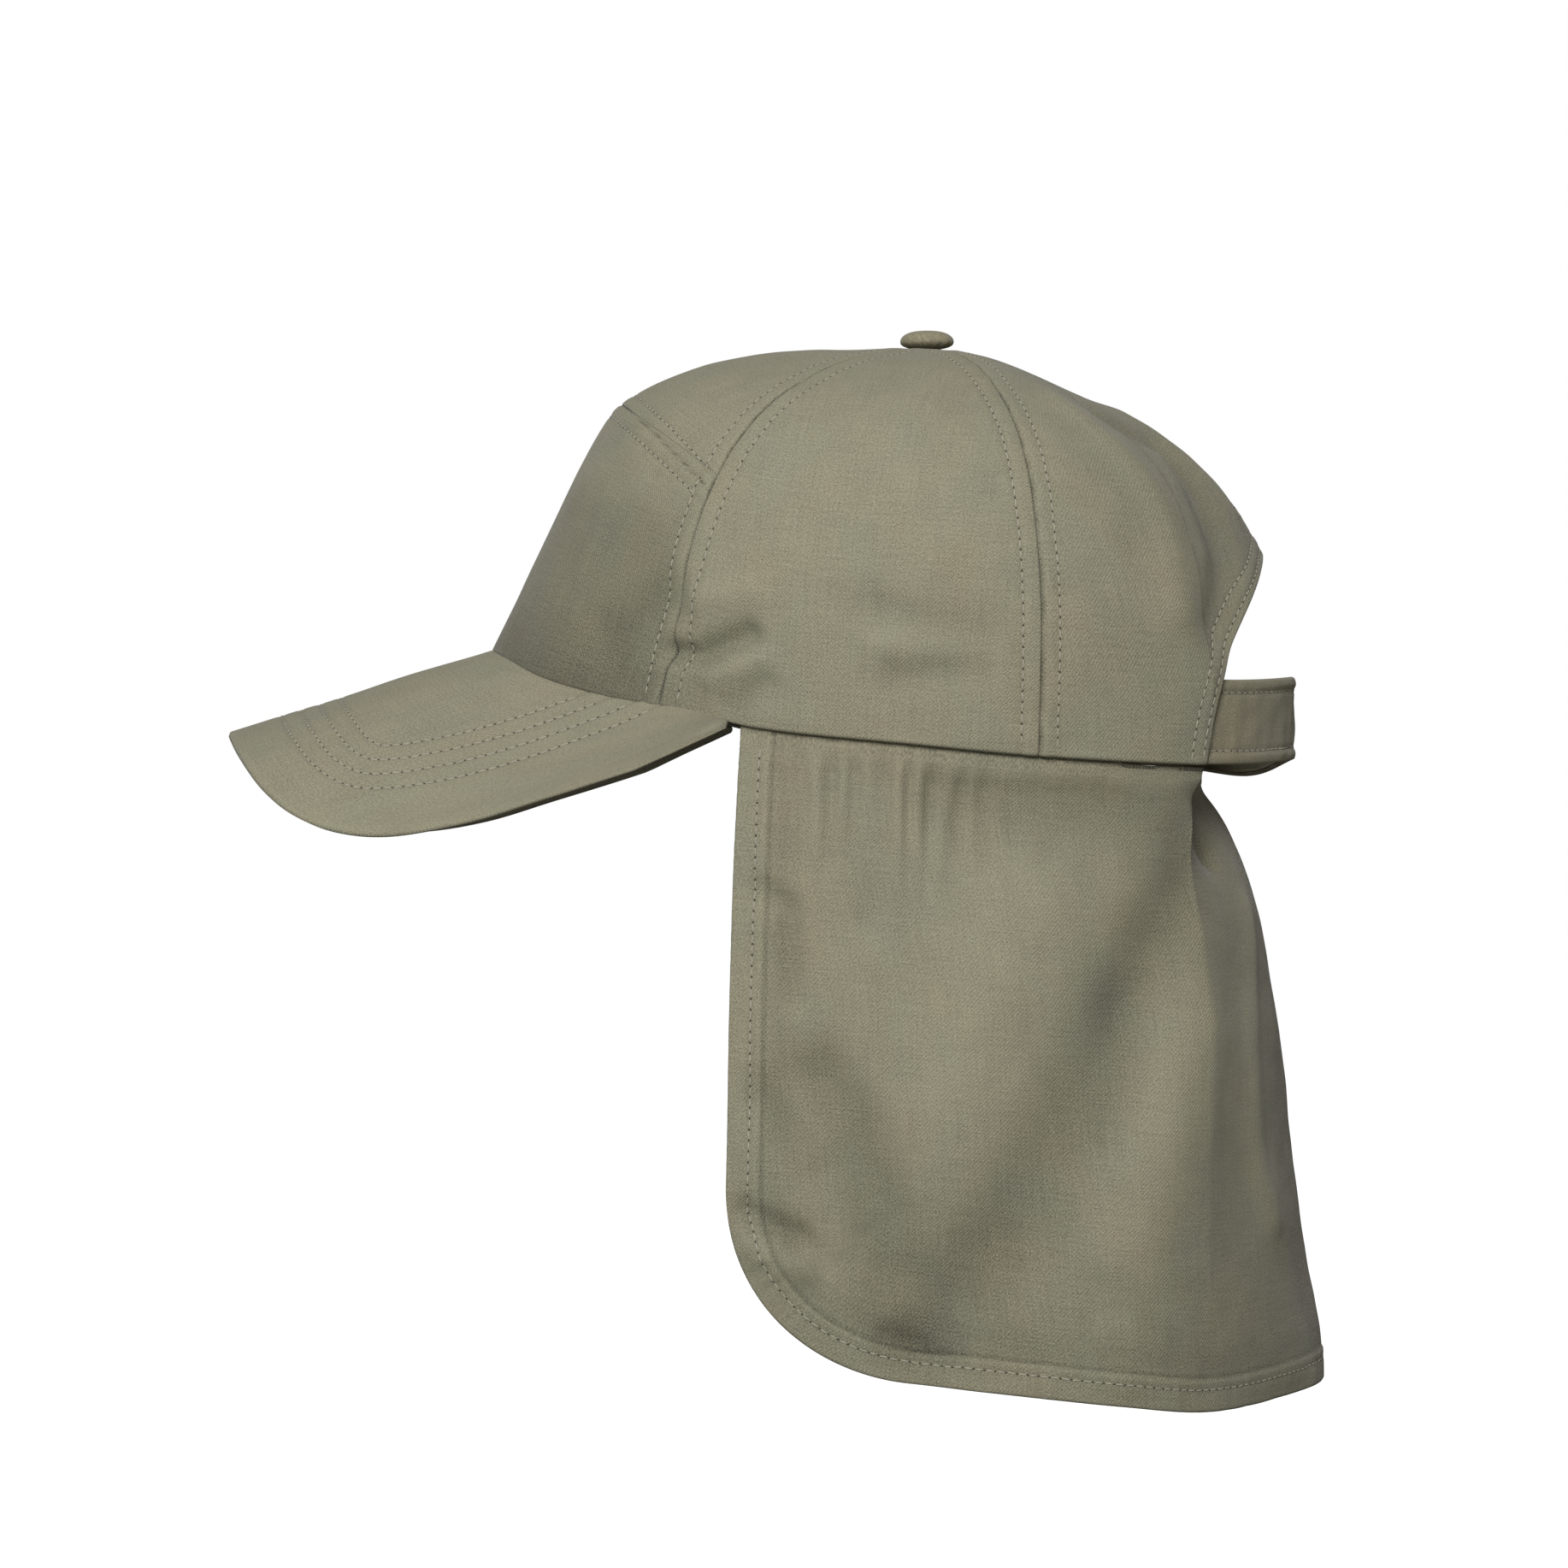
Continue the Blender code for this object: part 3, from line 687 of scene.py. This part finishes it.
# Peak: a stiff board between two cloths, with four rows of stitching
peak = {
    "length": 0.0676, "halfWidth": 0.0730, "fall": 0.0490, "halfAngle": 65.8, "endWidth": 0.0010,
    "gap": 0.0003, "tuck": 0.0014, "tuckUp": 0.0009, "thick": 0.0018, "edgeRoll": 0.0009,
    "rows": (0.0143, 0.0194, 0.0246, 0.0300), "pull": 0.00022, "columns": 200, "outRows": 74,
}
peakAround = (0.00, 0.12, 0.24, 0.33, 0.41, 0.50, 0.60, 0.70, 0.80, 0.90)
peakAcross = curve(list(zip(peakAround, (0.00, 0.25, 0.49, 0.68, 0.79, 0.87, 0.91, 0.94, 0.965, 0.985))))
peakAhead = curve(list(zip(peakAround, (1.000, 0.975, 0.917, 0.820, 0.705, 0.545, 0.335, 0.060,
                                        -0.220, -0.560))), flatStart=True)
peakBelow = curve(list(zip(peakAround, (0.420, 0.455, 0.555, 0.710, 0.830, 0.915, 0.935, 0.875,
                                        0.760, 0.610))), flatStart=True)


def peakEdge(around):
    front = rimPoint(0.0)
    way = 1 if around >= 0 else -1
    at = min(abs(around), peakAround[-1])
    point = Vector((way * peakAcross(at) * peak["halfWidth"],
                    front.y - peakAhead(at) * peak["length"],
                    front.z - peakBelow(at) * peak["fall"]))
    end = rimPoint(way * peak["halfAngle"], peak["endWidth"] + peak["gap"])
    end.z -= peak["gap"]
    past = (abs(around) - peakAround[-1]) / (1 - peakAround[-1])
    return point.lerp(end, max(past, 0.0))


def peakPoint(around, out):
    inner = rimPoint(around * peak["halfAngle"], peak["gap"] - peak["tuck"] * (1 - abs(around) ** 3))
    inner.z += peak["tuckUp"]
    return inner.lerp(peakEdge(around), out)


peakRim = kdtree.KDTree(601)
for k in range(601):
    peakRim.insert(peakEdge(k / 300 - 1), k)
peakRim.balance()


def peakSurface(across, up):
    around, out = 2 * across - 1, 1 - up
    point = peakPoint(around, out)
    away = peakRim.find(point)[2]
    drop = roll(away, peak["edgeRoll"])
    # a slightly lighter band along the rolled edge, and painted shade in the groove that each row of
    # stitches pulls
    shade = 0.05 * hump(away - 0.001, 0.0012)
    for row in peak["rows"]:
        pull = hump(away - row, 0.0006)
        drop += peak["pull"] * pull
        shade -= 0.14 * pull
    drop += noise.noise(point * 45) * 0.00035
    drop += noise.noise(point * 260) * 0.00008 * hump(away - 0.022, 0.010)
    return point - Vector((0.0, -0.25, 1.0)).normalized() * drop, shade


bm = layCloth("peakBoard", peakSurface, peak["columns"], peak["outRows"], Vector((0, -0.08, -0.3)),
              lambda share: share, crowdEnds(0.5))
addPiece("peakBoard", bm, peakCloth, ["peak"], peak["thick"])

# each row runs where the edge is its own distance away
for row in peak["rows"]:
    points = []
    for k in range(401):
        around = k / 200 - 1
        low, high = 0.0, 1.0
        if peakRim.find(peakPoint(around, 0.03))[2] < row:
            continue
        for _ in range(18):
            out = (low + high) / 2
            if peakRim.find(peakPoint(around, out))[2] > row:
                low = out
            else:
                high = out
        points.append(peakPoint(around, low))
    sewRow(points, "peakBoard")
print("peak made")


# Strap across the opening, doubled cloth with a row of stitches along each edge
strap = {"height": 0.0213, "lift": 0.0005, "tuckAngle": 8.0, "outset": -0.0013, "thick": 0.0015,
         "row": 0.0034, "droop": 0.0032, "shade": 0.02, "columns": 190, "rows": 44}


def strapSurface(across, up):
    reach = crown["archAngle"] + strap["tuckAngle"]
    turn = mix(-reach, reach, across)
    high = up * strap["height"]
    edge = min(high, strap["height"] - high)
    point = rimPoint(180 + turn, strap["outset"])
    out = Vector((point.x, point.y - crown["middle"], 0.0)).normalized()
    rise = 0.0003 * hump(edge - strap["row"] / 2, 0.0012) - roll(edge, 0.0006)
    pull = hump(edge - strap["row"], 0.0007)
    rise -= 0.00025 * pull
    rise += noise.noise(Vector((turn * 0.25, high * 170, 2.0))) * 0.0004 * ease(edge / 0.003)
    rise += noise.noise(Vector((turn * 0.9, edge * 200, 5.0))) * 0.00018 * hump(edge - strap["row"], 0.003)
    point += out * rise
    droop = strap["droop"] * hump(turn - 24, 14)  # the far half sags
    point.z += strap["lift"] + high - droop
    # painted shade in the groove that each row of stitches pulls, and the whole strap a little darker
    return point, -0.10 * pull - strap["shade"]


bm = layCloth("backStrap", strapSurface, strap["columns"], strap["rows"], Vector((0, 0, 0.01)),
              lambda share: share, crowdEnds(0.4))
addPiece("backStrap", bm, strapCloth, ["back_strap"], strap["thick"])
for height in (strap["row"], strap["height"] - strap["row"]):
    row = [strapSurface(k / 160, height / strap["height"])[0] for k in range(8, 153)]
    sewRow(row, "backStrap")
print("strap made")


# Neck flap: hangs from inside the rim, with folds, gathers and a turned hem
flap = {
    "drop": 0.1662, "halfWidth": 0.0770, "depth": 0.1540, "startGap": 1.5, "tuck": 0.0050,
    "tuckEnd": 124.0, "exit": 0.0010, "sag": 0.0030, "sewn": 0.71, "corner": 0.25,
    "cornerHeight": 0.0480, "lean": 0.0040, "reach": 0.1850, "wall": 0.0009,
    "foldFade": 0.05, "outset": -0.0021, "gathers": 10, "gatherDepth": 0.0013,
    "gatherReach": 0.24, "gatherFrom": 0.02, "gatherTo": 0.40,
    "dentShade": 55, "backShade": 0.14, "lowShade": 0.12,
    "hem": 0.0080, "hemRow": 0.0055, "hemRise": 0.0004, "slowWave": 0.0010, "fineWave": 0.0002,
    "columns": 330, "rows": 132,
}
hemAlong = (0.00, 0.18, 0.36, 0.55, 0.71, 0.86, 1.00)
hemAcross = curve(list(zip(hemAlong, (0.98, 1.00, 0.985, 0.93, 0.74, 0.37, 0.00))))
hemBack = curve(list(zip(hemAlong, (0.000, 0.215, 0.430, 0.645, 0.790, 0.925, 1.000))), flatEnd=True)
hemLow = curve(list(zip(hemAlong, (0.930, 0.940, 0.962, 0.985, 1.000, 0.990, 0.976))))
flapFlare = curve([(0.00, 0.00), (0.07, 0.14), (0.20, 0.36), (0.36, 0.53), (0.50, 0.64),
                   (0.65, 0.72), (0.80, 0.85), (0.92, 0.98), (1.00, 1.00)])
backFlare = curve([(0.00, 0.00), (0.05, 0.19), (0.12, 0.35), (0.23, 0.52), (0.38, 0.66),
                   (0.51, 0.74), (0.64, 0.79), (0.78, 0.88), (0.90, 0.99), (1.00, 1.00)])

# places are shares along and down
flapFolds = (
    (-3.9, 12, (0.80, 0.08), (0.66, 0.19), (0.595, 0.30), (0.53, 0.42), (0.455, 0.58), (0.40, 0.69),
     (0.325, 0.785), (0.27, 0.87)),
    (1.6, 14, (0.40, 0.22), (0.33, 0.40), (0.30, 0.52)),
    (2.0, 14, (0.70, 0.40), (0.58, 0.70)),
    (-1.6, 7, (0.56, 0.36), (0.575, 0.46), (0.53, 0.56)),
    (-2.6, 11, (0.30, 0.075), (0.66, 0.085)),
    (-3.4, 8.5, (0.13, 0.50), (0.17, 0.57), (0.19, 0.63), (0.215, 0.69), (0.22, 0.76)),
    (-1.2, 3.5, (0.18, 0.02), (0.185, 0.258)),
    (-1.0, 3, (0.14, 0.03), (0.145, 0.17)),
    (-1.8, 3.5, (0.045, 0.231), (0.08, 0.253), (0.085, 0.383)),
    (-1.8, 5, (0.05, 0.538), (0.12, 0.635)),
    (-2.8, 3.5, (0.03, 0.71), (0.07, 0.726), (0.10, 0.735)),
    (1.6, 4, (0.04, 0.765), (0.10, 0.785)),
    (-1.4, 3, (0.22, 0.874), (0.30, 0.899)),
    (-3.0, 4.5, (0.70, 0.0), (0.735, 0.05), (0.80, 0.124)),
    (1.4, 5, (0.88, 0.20), (0.825, 0.438), (0.83, 0.567), (0.86, 0.67)),
    (-1.2, 10, (0.95, 0.45), (0.96, 0.80)),
)
# where the cloth turns to the back, down from the rim
flapBend = curve([(0.00, 0.97), (0.04, 0.955), (0.23, 0.91), (0.44, 0.87), (0.57, 0.87),
                  (0.67, 0.89), (1.00, 0.94)])


def flapAngle(along):
    start = peak["halfAngle"] + flap["startGap"]
    return mix(start, 180 - crown["archAngle"], min(along / flap["sewn"], 1.0))


@lru_cache(None)
def flapTop(along):
    angle = flapAngle(along)
    point = rimPoint(angle, flap["outset"])
    point.z += mix(-peak["gap"], flap["tuck"], ease((flap["tuckEnd"] - angle) / strap["tuckAngle"]))
    past = max(along - flap["sewn"], 0.0) / (1 - flap["sewn"])
    point.x *= 1 - past
    point.z -= flap["sag"] * ease(past)
    return point


@lru_cache(None)
def flapHem(along):
    front = rimPoint(peak["halfAngle"] + flap["startGap"])
    y = front.y - flap["lean"] + hemBack(along) * flap["depth"]
    height = crown["rimLevel"] - hemLow(along) * flap["drop"]
    return Vector((hemAcross(along) * flap["halfWidth"], y, height))


# The lower front corner is round: a square's corner drawn in to a circle's
def roundCorner(along, down):
    high = flap["cornerHeight"] / flap["drop"]
    x, y = 1 - along / flap["corner"], (down - 1 + high) / high
    if x <= 0 or y <= 0:
        return along, down
    drawn = max(x, y) / math.hypot(x, y)
    return flap["corner"] * (1 - x * drawn), 1 - high + high * y * drawn


def flapPlain(along, down):
    top, hem = flapTop(along), flapHem(along)
    leave = min(rimHeight(flapAngle(along)), top.z) - flap["exit"]
    flare = mix(flapFlare(down), backFlare(down), ease((along - 0.5) / 0.4))
    return Vector((mix(top.x, hem.x, flare), mix(top.y, hem.y, flare), mix(leave, hem.z, down))), leave


def flapDent(along, low):
    height = foldHeight(flapFolds, (along, low), (flap["reach"], flap["drop"]))
    if flap["gatherFrom"] < along < flap["gatherTo"]:
        place = (along - flap["gatherFrom"]) / (flap["gatherTo"] - flap["gatherFrom"])
        fade = max(1 - low / flap["gatherReach"], 0.0)
        stray = 0.08 * noise.noise(Vector((place * 5, low * 4, 1.0)))
        wave = math.sin(2 * math.pi * flap["gathers"] * (place + stray))
        height += flap["gatherDepth"] * wave * fade * math.sin(math.pi * place)
    return height * ease(low / flap["foldFade"])


def flapPoint(along, down):
    point, leave = flapPlain(along, down)
    step = 0.01
    run = flapPlain(min(along + step, 1.0), down)[0] - flapPlain(max(along - step, 0.0), down)[0]
    outward = Vector((run.y, -run.x, 0.0)).normalized()
    low = (leave - point.z) / flap["drop"]
    return point + outward * flapDent(along, low), outward, low


# The free edge: down the front, then along the hem to the middle of the back
edgePlaces = [(0.0, k / 400) for k in range(401)] + [(k / 500, 1.0) for k in range(1, 501)]
edgePoints = [flapPoint(*roundCorner(*place))[0] for place in edgePlaces]
flapEdge = kdtree.KDTree(len(edgePoints))
for k, point in enumerate(edgePoints):
    flapEdge.insert(point, k)
flapEdge.balance()


def flapSurface(across, up):
    along = 2 * across - 1
    way = 1 if along < 0 else -1
    along = 1 - abs(along)
    # columns crowd at the front edge, and the last row of the grid is the tucked one
    along = along ** 1.35 if along < 1 else 1.0
    down = 1 - up
    # the tucked rows are all one painted shade, under the crown's rim
    if up > 0.985:
        point, shade = flapTop(along).copy(), -0.3
    else:
        point, outward, low = flapPoint(*roundCorner(along, down))
        away = flapEdge.find(point)[2]
        rise = flap["hemRise"] * ease((flap["hem"] - away) / 0.0006 + 0.5)
        rise -= 0.00014 * hump(away - flap["hemRow"], 0.0007) + roll(away, 0.0006)
        pucker = noise.noise(Vector((flapEdge.find(point)[1] * 0.11, 3.0, 0.0)))
        rise += 0.0003 * pucker * hump(away - flap["hemRow"], 0.005)
        rise += crumple(point, flap["slowWave"], flap["fineWave"]) * ease(away / 0.006) * ease(low / 0.04)
        # painted light and shade: shade in the groove the hem's stitches pull, a highlight on the hem's
        # fold edge, shadow beside and beyond the fold, shadow under the crown's rim, the folds darker the
        # deeper they go, and the cloth darker past the bend to the back and on the lower flap
        shade = -0.08 * hump(away - flap["hemRow"], 0.0007) + 0.10 * hump(away - 0.0077, 0.0006)
        shade -= 0.26 * hump(away - 0.0087, 0.0006)
        shade -= 0.25 * hump(low, 0.008)
        shade -= 0.10 * hump(away - 0.0125, 0.004)
        shade += flap["dentShade"] * flapDent(along, low)
        shade -= flap["backShade"] * ease((along - flapBend(low)) / 0.03)
        shade -= flap["lowShade"] * ease((low - 0.45) / 0.4)
        point = point + outward * rise
    return Vector((point.x * way, point.y, point.z)), shade


bm = layCloth("neckFlap", flapSurface, flap["columns"], flap["rows"], Vector((0, 0.02, -0.08)),
              lambda share: share, crowdEnds(0.6))
clothArea = sum(face.calc_area() for face in bm.faces)
neckFlap = addPiece("neckFlap", bm, flapCloth, ["neck_flap"], flap["wall"])
print("flap area", round(clothArea, 4))

# A place straight in from the edge, as far from it as the hem's row of stitches
def hemPlace(along, down):
    start = roundCorner(along, down)
    end = max(along, flap["corner"]), min(down, 1 - flap["cornerHeight"] / flap["drop"])
    low, high = 0.0, 1.0
    for _ in range(14):
        share = (low + high) / 2
        point = flapPoint(mix(start[0], end[0], share), mix(start[1], end[1], share))[0]
        if flapEdge.find(point)[2] < flap["hemRow"]:
            low = share
        else:
            high = share
    return point


hemPoints = [hemPlace(*place) for place in edgePlaces[6::3]]
for way in (1, -1):
    sewRow([Vector((point.x * way, point.y, point.z)) for point in hemPoints], "neckFlap")
print("flap made")


# Button: a cloth-covered dome, gathered in at its lower edge
button = {"radius": 0.0069, "height": 0.0047, "gap": 0.0003, "gathers": 15, "gather": 0.035}
bm = bmesh.new()
bmesh.ops.create_uvsphere(bm, u_segments=96, v_segments=40, radius=1)
shadeLayer = bm.verts.layers.float.new("shade")
seat = Vector((0.0, crown["middle"] + crown["buttonBack"], crown["top"] + button["gap"]))
for vert in bm.verts:
    turn, z = math.atan2(vert.co.y, vert.co.x), vert.co.z
    out = math.hypot(vert.co.x, vert.co.y) ** 0.75
    under = ease(0.25 - z)
    out *= 1 + button["gather"] * math.cos(button["gathers"] * turn + math.sin(3 * turn)) * under
    high = (0.40 + 0.60 * z) if z > 0 else (0.40 + 0.44 * z)
    vert.co = seat + Vector((out * button["radius"] * math.cos(turn),
                             out * button["radius"] * math.sin(turn), high * button["height"]))
    # painted shade on the underside, where the dome gathers in, and a painted highlight, slightly lighter,
    # on the top
    vert[shadeLayer] = -0.25 * ease(-z * 1.2) + 0.04 * max(z, 0)
clothMap = bm.loops.layers.uv.new("cloth")
for face in bm.faces:
    for loop in face.loops:
        loop[clothMap].uv = (loop.vert.co.x, loop.vert.co.y + loop.vert.co.z)
addPiece("topButton", bm, buttonCloth, ["button"])

addPiece("topstitching", threads, threadCotton)
# the needle holes' painted shade
addPiece("needleHoleShadows", holeShadows, holeShadow)
print("button made,", stitchCount, "stitches in all")


# Studio: pale floor well below the cap, soft light from the camera's side and above
studio = {"floorLevel": -0.62, "floorRadius": 14.0, "background": 1.0, "fill": 0.15,
          "key": 72.0, "keySize": 1.0, "top": 8.0, "topSize": 2.0, "low": 4.0, "lowSize": 0.8}


def areaLight(name, place, size, power):
    data = bpy.data.lights.new(name, "AREA")
    data.size = size
    data.energy = power
    lamp = bpy.data.objects.new(name, data)
    lamp.location = place
    lamp.rotation_euler = (Vector((0, 0, -0.02)) - Vector(place)).to_track_quat("-Z", "Y").to_euler()
    bpy.context.scene.collection.objects.link(lamp)


areaLight("keyLight", (2.60, -0.35, 1.25), studio["keySize"], studio["key"])
areaLight("topLight", (0.3, -0.3, 2.5), studio["topSize"], studio["top"])
areaLight("lowLight", (1.6, -0.9, -0.58), studio["lowSize"], studio["low"])

bm = bmesh.new()
bmesh.ops.create_circle(bm, cap_ends=True, segments=96, radius=studio["floorRadius"])
bmesh.ops.translate(bm, verts=bm.verts, vec=(0, 0, studio["floorLevel"]))
mesh = bpy.data.meshes.new("floor")
bm.to_mesh(mesh)
bm.free()
floor = bpy.data.objects.new("floor", mesh)
bpy.context.scene.collection.objects.link(floor)
floorPaint = bpy.data.materials.new("floorPaint")
floorPaint.use_nodes = True
paint = floorPaint.node_tree.nodes["Principled BSDF"]
paint.inputs["Base Color"].default_value = (0.85, 0.85, 0.84, 1)
paint.inputs["Roughness"].default_value = 0.9
paint.inputs["Emission Color"].default_value = (1, 1, 1, 1)
paint.inputs["Emission Strength"].default_value = 1.0
mesh.materials.append(floorPaint)
floor.visible_diffuse = False
floor.visible_glossy = False

world = bpy.data.worlds.new("studioWorld")
world.use_nodes = True
tree = world.node_tree
fill = tree.nodes["Background"]
fill.inputs["Color"].default_value = (1.0, 0.98, 0.90, 1)
fill.inputs["Strength"].default_value = studio["fill"]
backdrop = node(tree, "ShaderNodeBackground")
backdrop.inputs["Strength"].default_value = studio["background"]
backdrop.inputs["Color"].default_value = (1, 1, 1, 1)
ray = node(tree, "ShaderNodeLightPath")
choose = node(tree, "ShaderNodeMixShader")
tree.links.new(ray.outputs["Is Camera Ray"], choose.inputs["Fac"])
tree.links.new(fill.outputs[0], choose.inputs[1])
tree.links.new(backdrop.outputs[0], choose.inputs[2])
tree.links.new(choose.outputs[0], tree.nodes["World Output"].inputs["Surface"])
bpy.context.scene.world = world
bpy.context.scene.view_settings.view_transform = "Standard"

# Camera level with the middle of the photo, looking at the wearer's left side
view = {"distance": 1.80, "across": 0.40348, "aim": (0.0, -0.0227, -0.0099), "sensor": 36.0}
cameraData = bpy.data.cameras.new("sideCamera")
cameraData.sensor_width = view["sensor"]
cameraData.lens = view["sensor"] * view["distance"] / view["across"]
camera = bpy.data.objects.new("sideCamera", cameraData)
camera.location = Vector(view["aim"]) + Vector((view["distance"], 0, 0))
camera.rotation_euler = (math.radians(90), 0, math.radians(90))
bpy.context.scene.collection.objects.link(camera)
bpy.context.scene.camera = camera
print("studio set")
